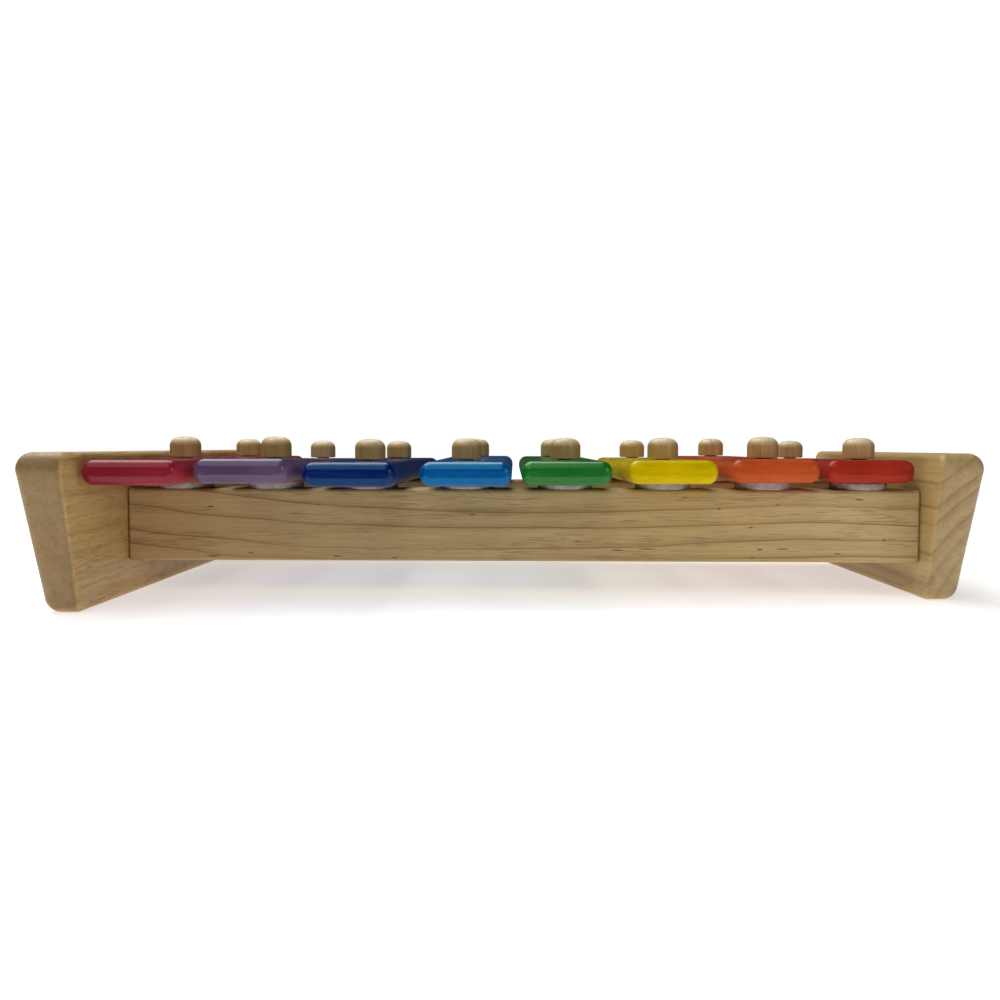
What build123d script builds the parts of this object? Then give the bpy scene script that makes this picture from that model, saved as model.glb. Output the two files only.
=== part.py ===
from build123d import *
import os

# A toy wooden xylophone, in millimetres. X runs along the instrument from its lowest bar on the
# left to its highest on the right, Y from the player to the back, Z up. The origin is on the
# table under the middle of the frame.

# Frame
bar_pitch = 40.0  # from one bar's pegs to the next bar's
row_spacing = 103.5  # from the front row of pegs to the back row
end_margin = 20.5  # from the first and last pegs to the panels

# End panels: boards on edge, thinner at the foot, with both ends set back at the foot
panel_height = 58.5
panel_top_thickness = 17.9
panel_foot_thickness = 13.2
long_panel_length = 249.5  # left panel, along its top
short_panel_length = 169.0  # right panel, along its top
panel_undercut = 15.0  # setback of each end at the foot
panel_corner_radius = 6.0  # the four corners seen from the side
panel_outer_rounding = 5.7
panel_inner_rounding = 2.2

# Rails that carry the bars
rail_thickness = 22.0
rail_height = 29.3
rail_underside = 14.2  # clear height under a rail
rail_rounding = 1.6

# Bars
bar_width = 34.8
bar_thickness = 9.3
longest_bar_length = 223.0
shortest_bar_length = 137.0
bar_edge_rounding = 4.1  # along both sides
bar_end_rounding = 3.4
bar_hole_diameter = 9.2

# Felt washers between bars and rails
felt_diameter = 23.0
felt_thickness = 2.3
felt_hole_diameter = 6.8
bar_seat_clearance = 0.25  # between a washer and its bar

# Pegs
peg_head_diameter = 12.6
peg_head_height = 8.6
peg_crown_rise = 0.9
peg_shoulder_radius = 3.7
peg_head_chamfer = 0.4
peg_shank_diameter = 6.0
peg_shank_chamfer = 0.8
peg_depth_in_rail = 18.0
peg_play = 0.4  # how far a bar lifts before it meets the heads

# Dowels that join each rail end to its panel
dowel_diameter = 6.0
dowel_length = 22.0
dowel_depth_in_panel = 8.0
dowel_spacing = 14.0
dowel_chamfer = 0.6

# Joints
glue_clearance = 0.05  # all round a glued peg or dowel
blind_hole_clearance = 0.6  # beyond the end of a peg or dowel

# Each bar from left to right. Shares: shift of its front and back pegs along the rails, of the
# pitch; how far it lies off its front and back pegs, of the play in its holes; how much thicker
# its front and back washers are, of the washers' thickness
bar_seat_shares = {
    "pink": (0.003, -0.029, -0.95, -0.32, 0.13, 0.00),
    "purple": (-0.050, -0.062, -0.56, -0.31, 0.15, -0.35),
    "dark_blue": (-0.070, -0.074, -0.90, -0.50, -0.26, -0.39),
    "light_blue": (-0.066, -0.065, 0.82, 0.64, -0.11, 0.04),
    "green": (-0.050, -0.082, -0.58, 0.02, -0.02, 0.04),
    "yellow": (-0.043, -0.064, 0.17, 0.42, 0.06, -0.13),
    "orange": (-0.015, -0.051, 0.00, 0.00, 0.26, 0.26),
    "red": (-0.033, -0.032, 0.16, 0.00, 0.11, -0.17),
}

# Worked out from the sizes above
bar_count = len(bar_seat_shares)
end_clear_length = (bar_count - 1) * bar_pitch + 2 * end_margin  # between the two panels
rail_top = rail_underside + rail_height
rail_middle = rail_underside + rail_height / 2
bar_hole_play = (bar_hole_diameter - peg_shank_diameter) / 2
bar_length_step = (longest_bar_length - shortest_bar_length) / (bar_count - 1)
dowel_points = ((0, -dowel_spacing / 2), (0, dowel_spacing / 2))
sides = {"left": -1, "right": 1}
rows = {"front": -1, "back": 1}


def peg_x(number, shift_share):
    return (number - (bar_count - 1) / 2 + shift_share) * bar_pitch


def joint_plane(side, row):
    # Where a rail end meets its panel, facing out of the instrument
    place = (side * end_clear_length / 2, row * row_spacing / 2, rail_middle)
    return Plane(origin=place, x_dir=(0, side, 0), z_dir=(side, 0, 0))


def dowel_circles(plane, radius):
    with BuildSketch(plane) as circles:
        with Locations(*dowel_points):
            Circle(radius)
    return circles.sketch


def dowel_holes(side, row, depth):
    circles = dowel_circles(joint_plane(side, row), dowel_diameter / 2 + glue_clearance)
    extrude(circles, amount=depth, mode=Mode.SUBTRACT)


def end_panel(side, length):
    foot_plane = Plane(origin=(side * end_clear_length / 2, 0, 0), x_dir=(side, 0, 0))
    outward = Axis((0, 0, 0), (side, 0, 0))
    with BuildPart() as panel:
        with BuildSketch(foot_plane):
            foot_length = length - 2 * panel_undercut
            Rectangle(panel_foot_thickness, foot_length, align=(Align.MIN, Align.CENTER))
        with BuildSketch(foot_plane.offset(panel_height)):
            Rectangle(panel_top_thickness, length, align=(Align.MIN, Align.CENTER))
        loft(ruled=True)
        fillet(panel.edges().filter_by(Axis.X), panel_corner_radius)
        fillet(panel.faces().sort_by(outward)[-1].edges(), panel_outer_rounding)
        fillet(panel.faces().sort_by(outward)[0].edges(), panel_inner_rounding)
        for row in rows.values():
            dowel_holes(side, row, dowel_depth_in_panel + blind_hole_clearance)
    return panel.part


def rail(row, peg_shifts):
    holes = [(peg_x(number, shift), 0, rail_height) for number, shift in enumerate(peg_shifts)]
    with BuildPart(Plane((0, row * row_spacing / 2, rail_underside))) as beam:
        middle_foot = (Align.CENTER, Align.CENTER, Align.MIN)
        Box(end_clear_length, rail_thickness, rail_height, align=middle_foot)
        fillet(beam.edges(), rail_rounding)
        with Locations(*holes):
            hole_depth = peg_depth_in_rail + blind_hole_clearance
            Hole(peg_shank_diameter / 2 + glue_clearance, depth=hole_depth)
        for side in sides.values():
            depth_in_rail = dowel_length - dowel_depth_in_panel + blind_hole_clearance
            dowel_holes(side, row, -depth_in_rail)
    return beam.part


def dowel_pair(side, row):
    inner_end = joint_plane(side, row).offset(dowel_depth_in_panel - dowel_length)
    with BuildPart() as pair:
        extrude(dowel_circles(inner_end, dowel_diameter / 2), amount=dowel_length)
        chamfer(pair.edges().filter_by(GeomType.CIRCLE), dowel_chamfer)
    return pair.part


def felt_washer(seat, thickness):
    with BuildPart() as washer:
        with BuildSketch(Plane(seat)):
            Circle(felt_diameter / 2)
            Circle(felt_hole_diameter / 2, mode=Mode.SUBTRACT)
        extrude(amount=thickness)
    return washer.part


def peg(seat, shank_length):
    # A domed head on a straight shank. The seat is the middle of the head's underside
    head_radius = peg_head_diameter / 2
    shank_radius = peg_shank_diameter / 2
    side_height = peg_head_height - peg_crown_rise
    with BuildPart() as turned:
        with BuildSketch(Plane(origin=seat, x_dir=(1, 0, 0), z_dir=(0, -1, 0))) as half:
            with BuildLine():
                outline = Polyline(
                    (0, peg_head_height),
                    (0, -shank_length),
                    (shank_radius - peg_shank_chamfer, -shank_length),
                    (shank_radius, peg_shank_chamfer - shank_length),
                    (shank_radius, 0),
                    (head_radius - peg_head_chamfer, 0),
                    (head_radius, peg_head_chamfer),
                    (head_radius, side_height),
                )
                TangentArc(outline @ 0, outline @ 1, tangent=(1, 0))
            make_face()
            shoulder = half.vertices().group_by(Axis.X)[-1].sort_by(Axis.Y)[-1]
            fillet(shoulder, peg_shoulder_radius)
        revolve(axis=Axis(seat, (0, 0, 1)))
    return turned.part


def bar(front_seat, back_seat, length):
    # Its pegs' holes stand over the two seats, which the washers set a little out of level
    along = (back_seat - front_seat).normalized()
    across = along.cross(Vector(0, 0, 1)).normalized()
    underside = Plane((front_seat + back_seat) / 2, x_dir=across, z_dir=across.cross(along))
    lengthwise = Axis(front_seat, along)
    hole_reach = (back_seat - front_seat).length / 2
    with BuildPart(underside) as plank:
        middle_foot = (Align.CENTER, Align.CENTER, Align.MIN)
        Box(bar_width, length, bar_thickness, align=middle_foot)
        fillet(plank.edges().filter_by(lengthwise), bar_edge_rounding)
        ends = plank.faces().sort_by(lengthwise)
        fillet(ends[0].edges() + ends[-1].edges(), bar_end_rounding)
        with Locations((0, -hole_reach), (0, hole_reach)):
            Hole(bar_hole_diameter / 2)
    return plank.part


def keep(name, solid):
    solid.label = name
    export_step(solid, f"parts/{name}.step")


os.makedirs("parts", exist_ok=True)

# The frame
keep("end_panel_left", end_panel(sides["left"], long_panel_length))
keep("end_panel_right", end_panel(sides["right"], short_panel_length))
for column, (row_name, row) in enumerate(rows.items()):
    peg_shifts = [shares[column] for shares in bar_seat_shares.values()]
    keep(f"rail_{row_name}", rail(row, peg_shifts))
    for side_name, side in sides.items():
        keep(f"dowels_{side_name}_{row_name}", dowel_pair(side, row))

# The bars with their washers and pegs
for number, (colour, shares) in enumerate(bar_seat_shares.items()):
    front_shift, back_shift, front_slip, back_slip, front_felt, back_felt = shares
    shifts = {"front": front_shift, "back": back_shift}
    slips = {"front": front_slip, "back": back_slip}
    felts = {"front": front_felt, "back": back_felt}
    bar_seats = {}
    for row_name, row in rows.items():
        x = peg_x(number, shifts[row_name])
        y = row * row_spacing / 2
        washer_height = felt_thickness * (1 + felts[row_name])
        bar_underside = rail_top + washer_height + bar_seat_clearance
        head_underside = bar_underside + bar_thickness + peg_play
        shank_length = head_underside - rail_top + peg_depth_in_rail
        keep(f"felt_{row_name}_{colour}", felt_washer((x, y, rail_top), washer_height))
        keep(f"peg_{row_name}_{colour}", peg((x, y, head_underside), shank_length))
        bar_x = x + slips[row_name] * bar_hole_play
        bar_seats[row_name] = Vector(bar_x, y, bar_underside)
    bar_length = longest_bar_length - number * bar_length_step
    keep(f"bar_{colour}", bar(bar_seats["front"], bar_seats["back"], bar_length))
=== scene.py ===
# Toy wooden xylophone: painted bars on felt washers over two rails, between two end panels.
# Metres, X along the rails from the lowest bar to the highest, Y from the player to the back, Z up.
import math

import bpy
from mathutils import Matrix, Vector


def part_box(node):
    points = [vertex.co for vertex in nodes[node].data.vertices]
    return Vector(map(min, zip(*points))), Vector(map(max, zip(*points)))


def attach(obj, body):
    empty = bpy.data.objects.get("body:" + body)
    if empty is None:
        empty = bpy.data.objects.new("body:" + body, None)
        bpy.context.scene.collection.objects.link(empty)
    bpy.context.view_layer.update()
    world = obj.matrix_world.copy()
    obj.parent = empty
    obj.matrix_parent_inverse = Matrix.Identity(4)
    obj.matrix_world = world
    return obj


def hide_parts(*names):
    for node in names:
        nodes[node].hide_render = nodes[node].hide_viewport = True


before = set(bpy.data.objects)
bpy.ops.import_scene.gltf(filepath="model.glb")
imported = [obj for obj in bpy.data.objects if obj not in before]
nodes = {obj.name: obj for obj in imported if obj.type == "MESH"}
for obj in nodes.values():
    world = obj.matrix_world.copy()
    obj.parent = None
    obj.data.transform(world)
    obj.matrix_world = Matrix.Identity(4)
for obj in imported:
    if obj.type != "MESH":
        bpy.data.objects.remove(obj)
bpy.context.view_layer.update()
print("frame loaded,", len(nodes), "nodes")

mm = 0.001


# Small helpers for node trees

def newMaterial(name):
    material = bpy.data.materials.new(name)
    material.use_nodes = True
    tree = material.node_tree
    tree.nodes.clear()
    output = tree.nodes.new("ShaderNodeOutputMaterial")
    shader = tree.nodes.new("ShaderNodeBsdfPrincipled")
    tree.links.new(shader.outputs["BSDF"], output.inputs["Surface"])
    return material, tree, shader


def put(tree, value, socket):
    # a plain number or colour is set on the socket, an output is linked to it
    if isinstance(value, bpy.types.NodeSocket):
        tree.links.new(value, socket)
    else:
        socket.default_value = value


def calc(tree, operation, first, second=0.0):
    step = tree.nodes.new("ShaderNodeMath")
    step.operation = operation
    put(tree, first, step.inputs[0])
    put(tree, second, step.inputs[1])
    return step.outputs[0]


def vectorCalc(tree, operation, *values):
    step = tree.nodes.new("ShaderNodeVectorMath")
    step.operation = operation
    for socket, value in zip(step.inputs, values):
        put(tree, value, socket)
    return step.outputs["Value" if operation == "LENGTH" else "Vector"]


def spread(tree, value, lowIn, highIn, lowOut=0.0, highOut=1.0, form="SMOOTHSTEP"):
    # one range turned into another, level beyond both of its ends
    step = tree.nodes.new("ShaderNodeMapRange")
    step.interpolation_type = form
    for socket, number in zip(step.inputs, (value, lowIn, highIn, lowOut, highOut)):
        put(tree, number, socket)
    return step.outputs[0]


def shareOf(tree, value, low, high):
    return spread(tree, value, low, high, form="LINEAR")


def mixColours(tree, amount, first, second, blend="MIX"):
    step = tree.nodes.new("ShaderNodeMix")
    step.data_type = "RGBA"
    step.blend_type = blend
    put(tree, amount, step.inputs[0])
    put(tree, first, step.inputs[6])
    put(tree, second, step.inputs[7])
    return step.outputs[2]


def mixNumbers(tree, amount, first, second):
    step = tree.nodes.new("ShaderNodeMix")
    for socket, value in zip((step.inputs[0], step.inputs[2], step.inputs[3]), (amount, first, second)):
        put(tree, value, socket)
    return step.outputs[0]


def coordinates(tree, kind):
    return tree.nodes.new("ShaderNodeTexCoord").outputs[kind]


def axes(tree, vector):
    split = tree.nodes.new("ShaderNodeSeparateXYZ")
    tree.links.new(vector, split.inputs[0])
    return split.outputs


def facing(tree, axis):
    # 1 where the surface faces either way along the axis, 0 where it runs along it
    return calc(tree, "ABSOLUTE", axes(tree, coordinates(tree, "Normal"))[axis])


def stretched(tree, vector, scale, shift=(0, 0, 0)):
    step = tree.nodes.new("ShaderNodeMapping")
    put(tree, vector, step.inputs["Vector"])
    step.inputs["Scale"].default_value = scale
    step.inputs["Location"].default_value = shift
    return step.outputs[0]


def pattern(tree, vector, look, seed=0.0):
    # noise, whose look gives its blobs to the metre along each axis, its step from the seed and its
    # detail, and may give its roughness and its distortion
    scale, step, detail, *more = look
    texture = tree.nodes.new("ShaderNodeTexNoise")
    put(tree, stretched(tree, vector, scale, (seed + step, 0, 0)), texture.inputs["Vector"])
    texture.inputs["Scale"].default_value = 1.0
    texture.inputs["Detail"].default_value = detail
    for name, value in zip(("Roughness", "Distortion"), more):
        texture.inputs[name].default_value = value
    return texture.outputs["Fac"]


def ramped(tree, value, stops):
    ramp = tree.nodes.new("ShaderNodeValToRGB")
    tree.links.new(value, ramp.inputs[0])
    elements = ramp.color_ramp.elements
    while len(elements) < len(stops):
        elements.new(0.5)
    for element, (where, _) in zip(elements, stops):
        element.position = where
    for element, (_, shade) in zip(elements, stops):
        element.color = shade if isinstance(shade, tuple) else colour(shade, shade, shade)
    return ramp.outputs[0]


def bumped(tree, shader, height, depth):
    step = tree.nodes.new("ShaderNodeBump")
    step.inputs["Strength"].default_value = 1.0
    step.inputs["Distance"].default_value = depth
    tree.links.new(height, step.inputs["Height"])
    tree.links.new(step.outputs["Normal"], shader.inputs["Normal"])


def colour(red, green, blue):
    return (red, green, blue, 1.0)


# Growth rings and growth lines

ringLook = {
    "unevenness": (2.4, 0.22),  # radians of swell to a ring, height of the swell in rings
    # shades across one ring, outwards
    "crisp": [(0.0, 0.30), (0.05, 0.06), (0.55, 0.04), (0.86, 0.24), (0.945, 1.0), (1.0, 0.9)],
    "soft": [(0.0, 0.60), (0.14, 0.10), (0.45, 0.0), (0.70, 0.40), (0.88, 1.0), (1.0, 0.75)],
    # shades about a listed ring: mm outwards, share of the ring's darkness, and what is added
    "placedCrisp": [(-1.1, 0.0, 0.05), (-0.25, 1.0, 0.0), (0.30, 0.0, 0.04)],
    "placedSoft": [(-3.4, 0.0, 0.0), (-0.9, 0.55, 0.0), (-0.1, 1.0, 0.0), (0.9, 0.0, 0.06)],
    "placedMargins": (8, 4),  # mm within the first ring and beyond the last
    "wanderRange": (-10, 10),  # mm that a pith may rise or fall along a board
}

lineLook = {
    # shades about a growth line, from its reach below to its reach above
    "shades": [(0.0, 0.0), (0.44, 0.05), (0.488, 1.0), (0.52, 0.85), (0.57, 0.30), (0.85, 0.0)],
    "reach": 3 * mm,
    "heightRange": (0, 60),  # mm above the table
    "fleckDepth": 6,  # half depth in mm
    "fleckEdge": (0.45, 1.15, 1.0, 0.0),  # from and to which share of its size it fades, and how far
}


def handCurve(tree, along, reach, points, heights):
    # a height that follows given points (share along the reach, mm), all within the heights
    low, high = heights
    curve = tree.nodes.new("ShaderNodeFloatCurve")
    knots = curve.mapping.curves[0].points
    while len(knots) < len(points):
        knots.new(0.5, 0.5)
    for knot, (where, value) in zip(knots, points):
        knot.location = (where, (value - low) / (high - low))
    curve.mapping.update()
    tree.links.new(shareOf(tree, along, *reach), curve.inputs["Value"])
    scaled = calc(tree, "MULTIPLY", curve.outputs[0], (high - low) * mm)
    return calc(tree, "ADD", scaled, low * mm)


def placedRings(tree, radius, board):
    # rings at set radii, which darken slowly outwards and end in a line
    before, after = ringLook["placedMargins"]
    low = board["ringRadii"][0][0] - before
    high = board["ringRadii"][-1][0] + after
    share = shareOf(tree, radius, low * mm, high * mm)
    looks = []
    for shape in (ringLook["placedCrisp"], ringLook["placedSoft"]):
        stops = []
        for place, dark in board["ringRadii"]:
            stops += [((place + out - low) / (high - low), part * dark + more) for out, part, more in shape]
        looks.append(ramped(tree, share, stops))
    return looks


def ringLines(tree, own, waves, board):
    # rings round a pith that lies along the grain, each a slow darkening that ends in a line
    pithAcross, pithUp = board["pith"]
    along, across, up = axes(tree, stretched(tree, own, (1, 1, 1), (0, -pithAcross, -pithUp)))
    wander = handCurve(tree, along, board["reach"], board["wander"], ringLook["wanderRange"])
    height = calc(tree, "SUBTRACT", up, wander)
    acrossSquare = calc(tree, "MULTIPLY", across, across)
    heightSquare = calc(tree, "MULTIPLY", height, height)
    radius = calc(tree, "SQRT", calc(tree, "ADD", acrossSquare, heightSquare))
    radius = calc(tree, "ADD", radius, waves)
    if "ringRadii" in board:
        return placedRings(tree, radius, board)
    rings = calc(tree, "DIVIDE", radius, board["ringWidth"])
    swell, swellHeight = ringLook["unevenness"]
    uneven = calc(tree, "MULTIPLY", calc(tree, "SINE", calc(tree, "MULTIPLY", rings, swell)), swellHeight)
    ring = calc(tree, "FRACT", calc(tree, "ADD", rings, uneven))
    return ramped(tree, ring, ringLook["crisp"]), ramped(tree, ring, ringLook["soft"])


def handLines(tree, own, waves, board):
    # growth lines given one by one on the front face, which climb a little towards the back
    along, depth, up = axes(tree, own)
    climb = calc(tree, "MULTIPLY", calc(tree, "SUBTRACT", depth, board["front"]), board["climb"])
    height = calc(tree, "ADD", calc(tree, "SUBTRACT", up, climb), waves)
    start, end = board["reach"]
    total = None
    for line in board["lines"]:
        points = [((x * mm - start) / (end - start), z) for x, z in line]
        curve = handCurve(tree, along, board["reach"], points, lineLook["heightRange"])
        above = calc(tree, "SUBTRACT", height, curve)
        share = shareOf(tree, above, -lineLook["reach"], lineLook["reach"])
        shade = ramped(tree, share, lineLook["shades"])
        total = shade if total is None else calc(tree, "MAXIMUM", total, shade)
    return total, total


def flecks(tree, own, board):
    # small knots and short dark streaks, listed one by one
    total = None
    for x, z, length, height in board["flecks"]:
        depth = lineLook["fleckDepth"]
        scale = (1 / (length * mm), 1 / (depth * mm), 1 / (height * mm))
        spot = stretched(tree, own, scale, (-x / length, -board["front"] * scale[1], -z / height))
        shade = spread(tree, vectorCalc(tree, "LENGTH", spot), *lineLook["fleckEdge"])
        total = shade if total is None else calc(tree, "MAXIMUM", total, shade)
    return total


# Natural wood: growth lines, fibres and open pores, all drawn out along the grain

woodLook = {
    "pale": colour(0.56, 0.415, 0.210),
    "warm": colour(0.51, 0.345, 0.150),
    "ringLine": colour(0.50, 0.38, 0.26),
    "fibre": colour(0.78, 0.72, 0.64),
    "pore": colour(0.215, 0.120, 0.055),
    "railEndGrain": colour(0.70, 0.66, 0.60),
    "railEndMottle": colour(0.60, 0.54, 0.46),
    "roughness": 0.40,  # for boards that have none of their own
    "fibreRoughness": 0.12,
    "poreRoughness": 0.2,
    "specular": 0.42,
    "relief": 0.10 * mm,
    "fibreRelief": 0.3,
    "poreRelief": 0.7,
    "endTurn": (0.30, 0.85),  # how squarely it faces, where end grain starts and where it is full
    "endPores": 0.35,  # share of the pores that shows on end grain
    "sway": 6 * mm,  # of the strands
    "waveMiddle": 0.5,  # value of the waves' pattern where a line stays in its place
}

# blobs to the metre along and across the grain, step from the seed, detail, roughness
woodPatterns = {
    "waves": ((14, 60, 60), 0, 2.0),
    "fading": ((9, 90, 90), 3, 1.0),
    "fineFibre": ((40, 1100, 1100), 0, 3.0, 0.65),
    "broadFibre": ((11, 280, 280), 0, 3.0, 0.6),
    "tone": ((5, 16, 16), 0, 2.0),
    "dashes": ((105, 1900, 1900), 5, 1.5),
    "bands": ((16, 170, 170), 7, 1.0),
    "specks": ((170, 1500, 1500), 11, 0.0),
    "sway": ((30, 30, 30), 2, 1.0),
    "strands": ((100, 1000, 1000), 9, 1.0),
    "mottle": ((180, 240, 240), 0, 4.0, 0.7),
}

# what shows of a pattern: from and to which of its values, least and most, where a missing most is
# the board's own
woodSteps = {
    "fading": (0.25, 0.6, 0.40, 1.0),
    "fineFibre": (0.36, 0.66, 0.0, 0.45),
    "broadFibre": (0.36, 0.66, 0.0, 0.50),
    "tone": (0.3, 0.7, 0.0, 1.0),
    "bands": (0.35, 0.65, 0.66, 0.50),
    "dashes": (0.0, 0.16, 0.0),
    "specks": (0.80, 0.87, 0.0, 0.50),
    "strands": (0.56, 0.66, 0.0),
    "mottle": (0.35, 0.68, 0.0, 1.0),
}

grainTurns = {
    "X": (0, 0, 0),
    "Y": (0, 0, -math.pi / 2),
    "Z": (0, math.pi / 2, 0),
}

boards = {
    "rail_front": {
        "grain": "X", "reach": (-0.161, 0.161), "seed": 1.0, "waviness": 1.2 * mm,
        "ringContrast": 1.0, "endContrast": 0.6, "pores": 0.50,
        "front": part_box("rail_front")[0].y, "climb": 0.35,
        # growth lines on the front face, as (x, z) in mm
        "lines": [
            [(-161, 47.5), (-139, 43.8), (-123.5, 41.6), (-104, 39.3), (-82, 37.2), (-48, 35.4),
             (-17, 34.1), (24, 34.2), (58, 35.4), (79.5, 36.0), (95, 37.0), (110, 37.4),
             (132, 36.8), (161, 35.8)],
            [(-161, 37.2), (-147, 35.5), (-135, 33.4), (-104, 31.0), (-86, 29.5), (-63.5, 28.9),
             (-33, 27.9), (9.5, 27.9), (40, 28.2), (68, 29.1), (96, 29.7), (112, 30.4),
             (128, 30.2), (161, 28.8)],
            [(-161, 27.4), (-147, 25.3), (-135, 24.2), (-114.5, 22.6), (-94, 20.3), (-63.5, 19.7),
             (-23, 19.4), (34, 20.1), (56, 20.9), (72, 22.1), (96, 22.9), (112, 23.6),
             (134, 23.2), (161, 22.8)],
            [(-161, 21.5), (-147, 19.6), (-135, 18.4), (-123, 16.6), (-104, 15.5), (-23, 15.4),
             (60, 15.6), (102, 16.0), (126.5, 16.6), (161, 16.5)],
            [(-161, 14.5), (-100, 9.0), (0, 7.5), (100, 10.0), (161, 9.0)],
        ],
        # knots and short streaks on the same face, as x, z, half length and half height in mm
        "flecks": [
            (-126.2, 36.3, 1.6, 0.42), (-82.3, 37.2, 1.6, 0.42), (-125.3, 16.1, 3.2, 0.42),
            (-110.1, 17.5, 1.1, 0.42), (-74.8, 16.2, 2.3, 0.38), (-19.9, 33.3, 1.8, 0.38),
            (-51.4, 15.6, 1.8, 0.36), (22.7, 22.5, 1.8, 0.36), (38.9, 19.0, 3.4, 0.38),
            (50.4, 19.6, 4.0, 0.34), (65.8, 40.3, 1.0, 0.42), (79.5, 35.9, 1.0, 0.55),
            (93.3, 16.2, 1.0, 0.50), (96.1, 19.5, 1.5, 0.45), (92.5, 28.4, 1.2, 0.42),
            (105.3, 19.7, 3.0, 0.34), (145.9, 23.4, 0.8, 0.66), (135.8, 39.8, 2.0, 0.40),
            (127.5, 17.8, 1.6, 0.34), (103.0, 37.5, 1.1, 0.38),
        ],
        # drift of tone along the rail
        "tones": [
            (0.0, colour(1.05, 1.04, 0.98)), (0.10, colour(1.02, 1.01, 0.94)),
            (0.26, colour(0.97, 1.01, 0.98)), (0.5, colour(1.00, 1.04, 1.05)),
            (0.72, colour(1.00, 1.04, 0.98)), (0.93, colour(1.13, 1.22, 1.27)),
        ],
        "pale": woodLook["pale"], "warm": woodLook["warm"],
        "endGrainAndTopHighlight": woodLook["railEndGrain"], "endMottleAndTopHighlight": woodLook["railEndMottle"],
    },
    "rail_back": {
        "grain": "X", "pith": (55 * mm, 95 * mm), "ringWidth": 7.2 * mm, "waviness": 2.0 * mm,
        "reach": (-0.161, 0.161), "wander": [(0.0, -2.0), (0.3, 1.0), (0.7, 3.0), (1.0, 0.5)],
        "ringContrast": 0.90, "endContrast": 0.6, "pores": 0.42, "seed": 4.0,
        "pale": woodLook["pale"], "warm": woodLook["warm"],
        "endGrainAndTopHighlight": woodLook["railEndGrain"], "endMottleAndTopHighlight": woodLook["railEndMottle"],
    },
    "end_panel_left": {
        "grain": "Y", "pith": (150 * mm, -60 * mm), "ringWidth": 4.2 * mm, "waviness": 2.6 * mm,
        "reach": (-0.12, 0.12), "wander": [(0.0, -1.5), (0.4, 1.0), (1.0, 2.5)],
        "ringContrast": 0.35, "endContrast": 0.10, "pores": 0.56, "seed": 9.0, "strands": 0.80,
        "pale": colour(0.60, 0.425, 0.188), "warm": colour(0.55, 0.345, 0.118),
        "endGrainAndTopHighlight": colour(0.52, 0.50, 0.48), "endMottleAndTopHighlight": colour(0.48, 0.46, 0.425),
        "topDarkening": (45 * mm, 54 * mm, colour(0.80, 0.76, 0.62)),  # darker end grain towards the top
    },
    "end_panel_right": {
        "grain": "Y", "pith": (-218.3 * mm, -15.0 * mm), "waviness": 1.0 * mm,
        # mm from the pith, darkness
        "ringRadii": [
            (50.5, 0.7), (56.0, 0.7), (61.6, 0.75), (67.0, 0.95), (73.7, 1.0), (78.2, 1.0), (84.8, 0.8),
        ],
        "reach": (-0.09, 0.09), "wander": [(0.0, 0.0), (0.5, 1.0), (1.0, -1.0)],
        "ringContrast": 0.75, "endContrast": 0.55, "pores": 0.36, "seed": 14.0,
        "pale": colour(0.61, 0.455, 0.205), "warm": colour(0.53, 0.370, 0.140),
        "endGrainAndTopHighlight": colour(0.81, 0.81, 0.90), "endMottleAndTopHighlight": colour(0.785, 0.775, 0.85),
    },
    "pegs": {
        "grain": "Z", "pith": (3 * mm, 2 * mm), "ringWidth": 3.5 * mm, "waviness": 1.2 * mm,
        "reach": (0.0, 0.07), "wander": [(0.0, 0.0), (1.0, 0.0)],
        "ringContrast": 0.26, "endContrast": 0.20, "pores": 0.26, "seed": 21.0,
        # a soft end turn, so that the painted highlight on the dome tops fades down their shoulders
        "roughness": 0.32, "endTurn": (0.10, 1.0),
        # darker and more orange than the other boards: the pegs' own wood, with painted shade for their
        # sides
        "pale": colour(0.55, 0.385, 0.165), "warm": colour(0.48, 0.300, 0.100),
        # far above 1: the dome tops paler and brighter, a painted highlight over their end grain
        "endGrainAndTopHighlight": colour(1.75, 2.30, 3.80), "endMottleAndTopHighlight": colour(1.55, 2.0, 3.2),
    },
}


def woodCoordinates(tree, grain):
    # turned so that X runs along the grain
    turn = tree.nodes.new("ShaderNodeMapping")
    turn.inputs["Rotation"].default_value = grainTurns[grain]
    tree.links.new(coordinates(tree, "Object"), turn.inputs["Vector"])
    return turn.outputs[0]


def woodPattern(tree, vector, name, board):
    return pattern(tree, vector, woodPatterns[name], board["seed"])


def woodPores(tree, own, board):
    # short dark dashes in loose bands, and fewer darker ones
    dashes = woodPattern(tree, own, "dashes", board)
    most = spread(tree, woodPattern(tree, own, "bands", board), *woodSteps["bands"])
    show = spread(tree, calc(tree, "SUBTRACT", dashes, most), *woodSteps["dashes"], board["pores"])
    specks = spread(tree, woodPattern(tree, own, "specks", board), *woodSteps["specks"])
    show = calc(tree, "MAXIMUM", show, specks)
    if "flecks" in board:
        show = calc(tree, "MAXIMUM", show, flecks(tree, own, board))
    return show


def woodStrands(tree, own, endOn, board):
    # darker strands that lie in slow waves, and not on end grain
    sway = woodPattern(tree, own, "sway", board)
    swayed = vectorCalc(tree, "MULTIPLY_ADD", sway, (0, woodLook["sway"], woodLook["sway"]), own)
    strands = woodPattern(tree, swayed, "strands", board)
    show = spread(tree, strands, *woodSteps["strands"], board["strands"])
    return calc(tree, "MULTIPLY", show, spread(tree, endOn, 0.0, 1.0, 1.0, 0.0))


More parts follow.
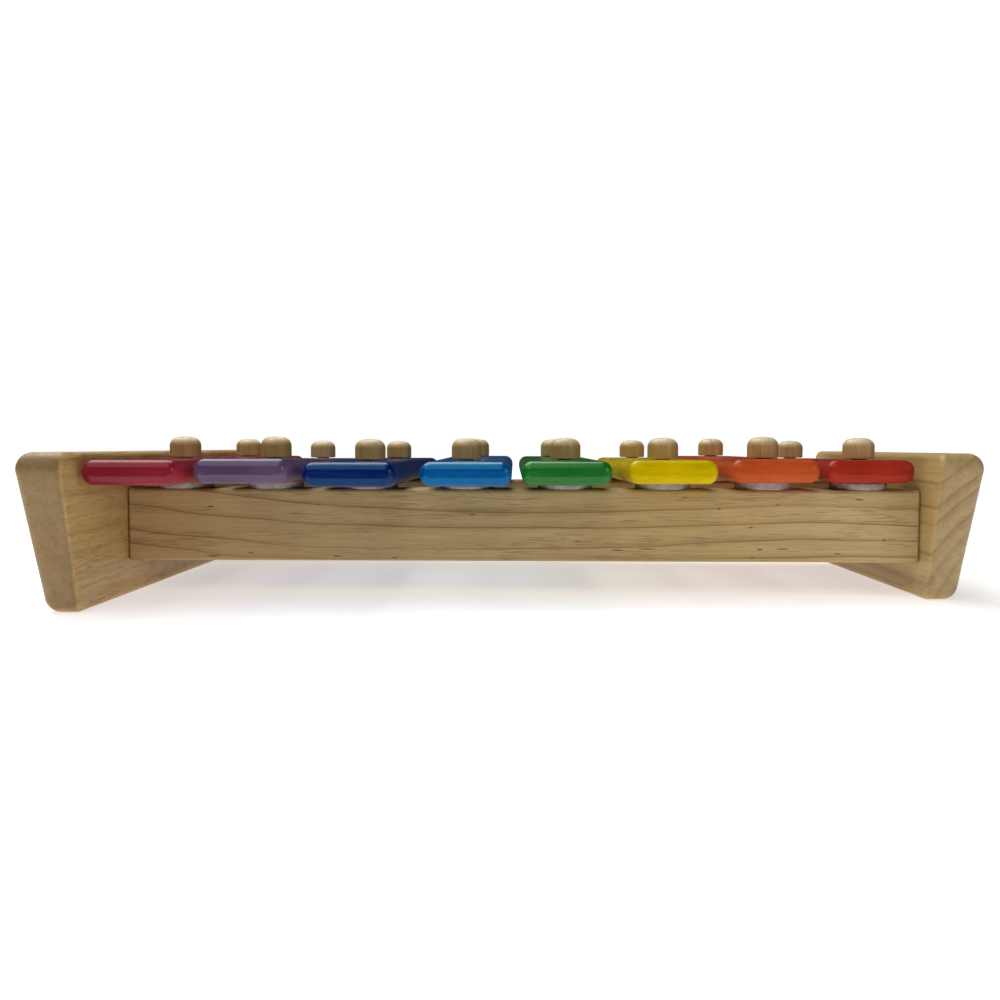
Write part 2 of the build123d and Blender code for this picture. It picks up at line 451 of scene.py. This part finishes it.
def makeWood(name, board):
    material, tree, shader = newMaterial(name)
    own = woodCoordinates(tree, board["grain"])
    waves = calc(tree, "SUBTRACT", woodPattern(tree, own, "waves", board), woodLook["waveMiddle"])
    waves = calc(tree, "MULTIPLY", waves, board["waviness"])
    crisp, soft = (handLines if "lines" in board else ringLines)(tree, own, waves, board)
    fading = spread(tree, woodPattern(tree, own, "fading", board), *woodSteps["fading"])
    crisp = calc(tree, "MULTIPLY", calc(tree, "MULTIPLY", crisp, fading), board["ringContrast"])
    soft = calc(tree, "MULTIPLY", soft, board["endContrast"])

    # the ends of the fibres drink light, so end grain is darker, with dots for dashes; on the pegs the same
    # mix makes the dome tops paler and brighter instead, a painted highlight
    endOn = spread(tree, facing(tree, board["grain"]), *board.get("endTurn", woodLook["endTurn"]))
    lineShow = mixNumbers(tree, endOn, crisp, soft)
    endPores = spread(tree, endOn, 0.0, 1.0, 1.0, woodLook["endPores"])
    poreShow = calc(tree, "MULTIPLY", woodPores(tree, own, board), endPores)

    # fine streaks along the grain, and a broad drift of tone
    fineFibre = woodPattern(tree, own, "fineFibre", board)
    broadFibre = woodPattern(tree, own, "broadFibre", board)
    fibreShow = spread(tree, fineFibre, *woodSteps["fineFibre"])
    fibreShow = calc(tree, "ADD", fibreShow, spread(tree, broadFibre, *woodSteps["broadFibre"]))
    if "strands" in board:
        fibreShow = calc(tree, "ADD", fibreShow, woodStrands(tree, own, endOn, board))
    tone = spread(tree, woodPattern(tree, own, "tone", board), *woodSteps["tone"])

    base = mixColours(tree, tone, board["pale"], board["warm"])
    along, _, up = axes(tree, own)
    if "tones" in board:
        tones = ramped(tree, shareOf(tree, along, *board["reach"]), board["tones"])
        base = mixColours(tree, 1.0, base, tones, "MULTIPLY")
    base = mixColours(tree, fibreShow, base, woodLook["fibre"], "MULTIPLY")
    base = mixColours(tree, lineShow, base, woodLook["ringLine"], "MULTIPLY")
    base = mixColours(tree, poreShow, base, woodLook["pore"])
    mottle = spread(tree, woodPattern(tree, own, "mottle", board), *woodSteps["mottle"])
    ends = mixColours(tree, mottle, board["endGrainAndTopHighlight"], board["endMottleAndTopHighlight"])
    # end grain darker towards the top of the panel
    if "topDarkening" in board:
        low, high, darker = board["topDarkening"]
        topDarkened = mixColours(tree, 1.0, ends, darker, "MULTIPLY")
        ends = mixColours(tree, spread(tree, up, low, high), ends, topDarkened)
    base = mixColours(tree, endOn, base, mixColours(tree, 1.0, base, ends, "MULTIPLY"))
    tree.links.new(base, shader.inputs["Base Color"])

    rough = calc(tree, "MULTIPLY", fineFibre, woodLook["fibreRoughness"])
    rough = calc(tree, "ADD", rough, board.get("roughness", woodLook["roughness"]))
    rough = calc(tree, "ADD", rough, calc(tree, "MULTIPLY", poreShow, woodLook["poreRoughness"]))
    tree.links.new(rough, shader.inputs["Roughness"])
    shader.inputs["Specular IOR Level"].default_value = woodLook["specular"]
    raised = calc(tree, "MULTIPLY", fineFibre, woodLook["fibreRelief"])
    sunk = calc(tree, "MULTIPLY", poreShow, woodLook["poreRelief"])
    bumped(tree, shader, calc(tree, "SUBTRACT", raised, sunk), woodLook["relief"])
    return material


# Painted bars: a thick semi-gloss coat that still shows the grain a little

# colour, tint of its gloss, strength of its gloss, tone of its long sides: painted light where above 1,
# painted shade where below 1
paints = {
    "pink": (colour(0.237, 0.0105, 0.0260), colour(1.0, 0.64, 0.58), 0.42, 1.5),
    "purple": (colour(0.092, 0.054, 0.116), colour(1.0, 0.88, 1.0), 0.52, 1.4),
    "dark_blue": (colour(0.0002, 0.0066, 0.0900), colour(0.24, 0.68, 1.0), 0.62, 1.2),
    "light_blue": (colour(0.0, 0.0735, 0.2720), colour(0.14, 0.82, 1.0), 0.86, 1.0),
    "green": (colour(0.007, 0.141, 0.011), colour(0.62, 1.0, 0.64), 0.64, 1.0),
    "yellow": (colour(0.618, 0.4350, 0.0), colour(1.0, 0.97, 0.10), 0.42, 0.78),
    "orange": (colour(0.5180, 0.0770, 0.0150), colour(1.0, 0.66, 0.48), 0.34, 1.0),
    "red": (colour(0.400, 0.0285, 0.0135), colour(1.0, 0.40, 0.32), 0.36, 0.9),
}

paintLook = {
    "seedStep": 3.0,  # from one bar to the next
    # blobs to the metre, step from the seed, detail, roughness
    "patterns": {
        "peel": ((330, 480, 520), 0, 2.0),
        "grain": ((700, 28, 700), 0, 3.0, 0.6),
        "strokes": ((55, 45, 950), 0, 2.0, 0.6),
        "clouds": ((45, 25, 45), 0, 3.0),
    },
    "patternRange": (0.3, 0.7),
    # least and most tone that each pattern gives
    "tones": {"clouds": (0.86, 1.06), "grain": (0.95, 1.03), "strokes": (0.93, 1.06)},
    "roughness": (0.15, 0.26),
    "sideRoughness": 0.30,  # more on the long sides
    "sideTurn": (0.6, 0.98),  # how squarely it faces, where a long side starts and where it is full
    "relief": 0.050 * mm,
    "grainRelief": 0.8,  # beside the peel's
    "strokeRelief": 0.5,
}


def makePaint(name, tint, glossTint, gloss, sideLightAndShade, seed):
    material, tree, shader = newMaterial(name)
    place = coordinates(tree, "Object")
    coat = {kind: pattern(tree, place, look, seed) for kind, look in paintLook["patterns"].items()}
    sideOn = spread(tree, facing(tree, "X"), *paintLook["sideTurn"])
    # the long sides made lighter or darker per bar: painted light and painted shade
    shade = spread(tree, sideOn, 0.0, 1.0, 1.0, sideLightAndShade)
    for kind, tones in paintLook["tones"].items():
        shade = calc(tree, "MULTIPLY", shade, spread(tree, coat[kind], *paintLook["patternRange"], *tones))
    tinted = tree.nodes.new("ShaderNodeVectorMath")
    tinted.operation = "SCALE"
    tinted.inputs[0].default_value = tint[:3]
    tree.links.new(shade, tinted.inputs["Scale"])
    tree.links.new(tinted.outputs[0], shader.inputs["Base Color"])
    rough = spread(tree, coat["clouds"], *paintLook["patternRange"], *paintLook["roughness"])
    rough = calc(tree, "ADD", rough, calc(tree, "MULTIPLY", sideOn, paintLook["sideRoughness"]))
    tree.links.new(rough, shader.inputs["Roughness"])
    shader.inputs["Specular IOR Level"].default_value = gloss
    shader.inputs["Specular Tint"].default_value = glossTint
    relief = calc(tree, "ADD", coat["peel"], calc(tree, "MULTIPLY", coat["grain"], paintLook["grainRelief"]))
    relief = calc(tree, "ADD", relief, calc(tree, "MULTIPLY", coat["strokes"], paintLook["strokeRelief"]))
    bumped(tree, shader, relief, paintLook["relief"])
    return material


def dress(node, material):
    nodes[node].material_slots[0].material = material


for name in ("rail_front", "rail_back", "end_panel_left", "end_panel_right"):
    dress(name, makeWood("wood_" + name, boards[name]))
pegWood = makeWood("wood_pegs", boards["pegs"])
for name in nodes:
    if name.startswith(("peg_", "dowels_")):
        dress(name, pegWood)
for number, (paintName, paint) in enumerate(paints.items()):
    dress("bar_" + paintName, makePaint("paint_" + paintName, *paint, paintLook["seedStep"] * number))
print("wood and paint done")


# Felt washers: soft white discs in the place of the plain rings

feltLook = {
    # greyer and warmer than white felt: painted shade from the bars above and painted colour bounced from
    # them, over the felt's own mottle
    "light": colour(0.54, 0.475, 0.44),
    "dark": colour(0.28, 0.243, 0.222),
    # blobs to the metre, step from the seed, detail, roughness, distortion
    "tangle": ((1600, 1600, 2600), 0, 4.0, 0.65, 1.2),
    "clumps": ((420, 420, 520), 0, 2.0),
    "tangleShare": 0.6,
    "clumpShare": 0.4,
    "lightRange": (0.32, 0.66),
    "roughness": 0.95,
    "sheen": 0.20,
    "specular": 0.2,
    "relief": 0.25 * mm,
}

washer = {
    "sides": 64,
    "holeShare": 0.30,  # of the radius
    "rise": 0.10 * mm,
    "edgeRounding": 0.45 * mm,
    "edgeSegments": 3,
    "edgeAngle": math.radians(50),
    "smoothAngle": math.radians(60),
    "fuzz": 0.16 * mm,
}


def makeFelt(name):
    material, tree, shader = newMaterial(name)
    place = coordinates(tree, "Object")
    tangle = calc(tree, "MULTIPLY", pattern(tree, place, feltLook["tangle"]), feltLook["tangleShare"])
    clumps = calc(tree, "MULTIPLY", pattern(tree, place, feltLook["clumps"]), feltLook["clumpShare"])
    amount = calc(tree, "ADD", tangle, clumps)
    lightness = spread(tree, amount, *feltLook["lightRange"])
    fluffy = mixColours(tree, lightness, feltLook["dark"], feltLook["light"])
    tree.links.new(fluffy, shader.inputs["Base Color"])
    shader.inputs["Roughness"].default_value = feltLook["roughness"]
    shader.inputs["Sheen Weight"].default_value = feltLook["sheen"]
    shader.inputs["Specular IOR Level"].default_value = feltLook["specular"]
    bumped(tree, shader, amount, feltLook["relief"])
    return material


def makeWasher(node, material):
    low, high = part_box(node)
    radius = (high.x - low.x) / 2
    middle = (low + high) / 2
    height = high.z - low.z + washer["rise"]
    bpy.ops.object.select_all(action="DESELECT")
    bpy.ops.mesh.primitive_cylinder_add(
        vertices=washer["sides"], radius=radius - washer["fuzz"], depth=height,
        location=(middle.x, middle.y, low.z + height / 2),
    )
    piece = bpy.context.object
    piece.name = "soft_" + node
    bpy.ops.object.transform_apply(location=True, rotation=False, scale=False)
    bpy.ops.object.mode_set(mode="EDIT")
    bpy.ops.mesh.select_mode(type="FACE")
    bpy.ops.mesh.select_all(action="DESELECT")
    bpy.ops.object.mode_set(mode="OBJECT")
    for face in piece.data.polygons:
        face.select = abs(face.normal.z) > 0.5  # the top and the bottom
    bpy.ops.object.mode_set(mode="EDIT")
    bpy.ops.mesh.inset(thickness=radius * (1 - washer["holeShare"]), depth=0)
    bpy.ops.mesh.bridge_edge_loops()
    bpy.ops.object.mode_set(mode="OBJECT")
    rounding = piece.modifiers.new("rounding", "BEVEL")
    rounding.width = washer["edgeRounding"]
    rounding.segments = washer["edgeSegments"]
    rounding.limit_method = "ANGLE"
    rounding.angle_limit = washer["edgeAngle"]
    bpy.ops.object.modifier_apply(modifier="rounding")
    bpy.ops.object.shade_smooth_by_angle(angle=washer["smoothAngle"])
    piece.data.materials.append(material)
    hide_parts(node)
    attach(piece, "frame")
    return piece


feltMaterial = makeFelt("white_felt")
for name in sorted(nodes):
    if name.startswith("felt_"):
        makeWasher(name, feltMaterial)
print("felt washers done")


# Floor, lights and camera

studio = {
    "floor": colour(0.90, 0.90, 0.90),
    "floorGlow": (0.55, 1.20),  # as seen, under the toy and far off
    "floorReach": (0.45, 1.60),
    "floorLight": (0.50, 0.12),  # as it lights the toy, near and far off
    "floorLightReach": (0.30, 0.80),
    "floorMiddle": (0.0, 1.95, 0.0),
    "floorSize": 5.0,
    "floorRoughness": 0.8,
    "floorSpecular": 0.1,
    "white": colour(1.0, 1.0, 1.0),
    "room": 0.03,  # light from all round
    "backdrop": 1.0,  # as the camera sees it
    # name: place, aim, size, power
    "lamps": {
        "ceiling_light": ((-0.56, -0.85, 0.90), (-0.56, -0.85, 0.0), (1.36, 2.2), 13.0),
        "overhead_light": ((-0.33, 0.45, 1.00), (-0.1, 0.0, 0.0), (1.0, 0.8), 8.5),
        "right_light": ((1.10, -0.90, 0.50), (0.12, 0.0, 0.03), (0.9, 0.7), 3.7),
    },
}

camera = {
    "place": (-2.16 * mm, -466.5 * mm, 61.0 * mm),
    "turn": 0.94,  # degrees, towards the left
    "tilt": 3.09,  # degrees, downwards
    "roll": -0.12,  # degrees
    "focalPixels": 1000.0,
    "framePixels": 1000.0,
    "sensor": 36.0,
    "nearest": 0.01,
}


def makeFloor():
    bpy.ops.mesh.primitive_plane_add(size=studio["floorSize"], location=studio["floorMiddle"])
    floor = bpy.context.object
    floor.name = "floor"
    bpy.ops.object.transform_apply(location=True, rotation=False, scale=False)
    material, tree, shader = newMaterial("pale_floor")
    distance = vectorCalc(tree, "LENGTH", coordinates(tree, "Object"))
    seen = spread(tree, distance, *studio["floorReach"], *studio["floorGlow"])
    cast = spread(tree, distance, *studio["floorLightReach"], *studio["floorLight"])
    cameraRay = tree.nodes.new("ShaderNodeLightPath").outputs["Is Camera Ray"]
    tree.links.new(mixNumbers(tree, cameraRay, cast, seen), shader.inputs["Emission Strength"])
    shader.inputs["Base Color"].default_value = studio["floor"]
    shader.inputs["Emission Color"].default_value = studio["floor"]
    shader.inputs["Roughness"].default_value = studio["floorRoughness"]
    shader.inputs["Specular IOR Level"].default_value = studio["floorSpecular"]
    floor.data.materials.append(material)


def makeRoom():
    world = bpy.data.worlds.new("room")
    world.use_nodes = True
    tree = world.node_tree
    tree.nodes.clear()
    output = tree.nodes.new("ShaderNodeOutputWorld")
    choice = tree.nodes.new("ShaderNodeMixShader")
    cameraRay = tree.nodes.new("ShaderNodeLightPath").outputs["Is Camera Ray"]
    tree.links.new(cameraRay, choice.inputs[0])
    for socket, strength in zip(choice.inputs[1:], (studio["room"], studio["backdrop"])):
        light = tree.nodes.new("ShaderNodeBackground")
        light.inputs["Color"].default_value = studio["white"]
        light.inputs["Strength"].default_value = strength
        tree.links.new(light.outputs[0], socket)
    tree.links.new(choice.outputs[0], output.inputs["Surface"])
    bpy.context.scene.world = world


def makeLamp(name, place, aim, size, power):
    lamp = bpy.data.lights.new(name, "AREA")
    lamp.shape = "RECTANGLE"
    lamp.size, lamp.size_y = size
    lamp.energy = power
    holder = bpy.data.objects.new(name, lamp)
    holder.location = place
    holder.rotation_euler = (Vector(aim) - Vector(place)).to_track_quat("-Z", "Y").to_euler()
    bpy.context.scene.collection.objects.link(holder)


def makeCamera():
    eye = bpy.data.cameras.new("eye")
    eye.sensor_fit = "HORIZONTAL"
    eye.sensor_width = camera["sensor"]
    eye.lens = camera["sensor"] * camera["focalPixels"] / camera["framePixels"]
    eye.clip_start = camera["nearest"]
    holder = bpy.data.objects.new("eye", eye)
    holder.location = camera["place"]
    angles = (90 - camera["tilt"], camera["roll"], camera["turn"])
    holder.rotation_euler = [math.radians(angle) for angle in angles]
    bpy.context.scene.collection.objects.link(holder)
    bpy.context.scene.camera = holder


makeFloor()
makeRoom()
for name, lamp in studio["lamps"].items():
    makeLamp(name, *lamp)
makeCamera()
bpy.context.scene.view_settings.view_transform = "Standard"
print("studio done")
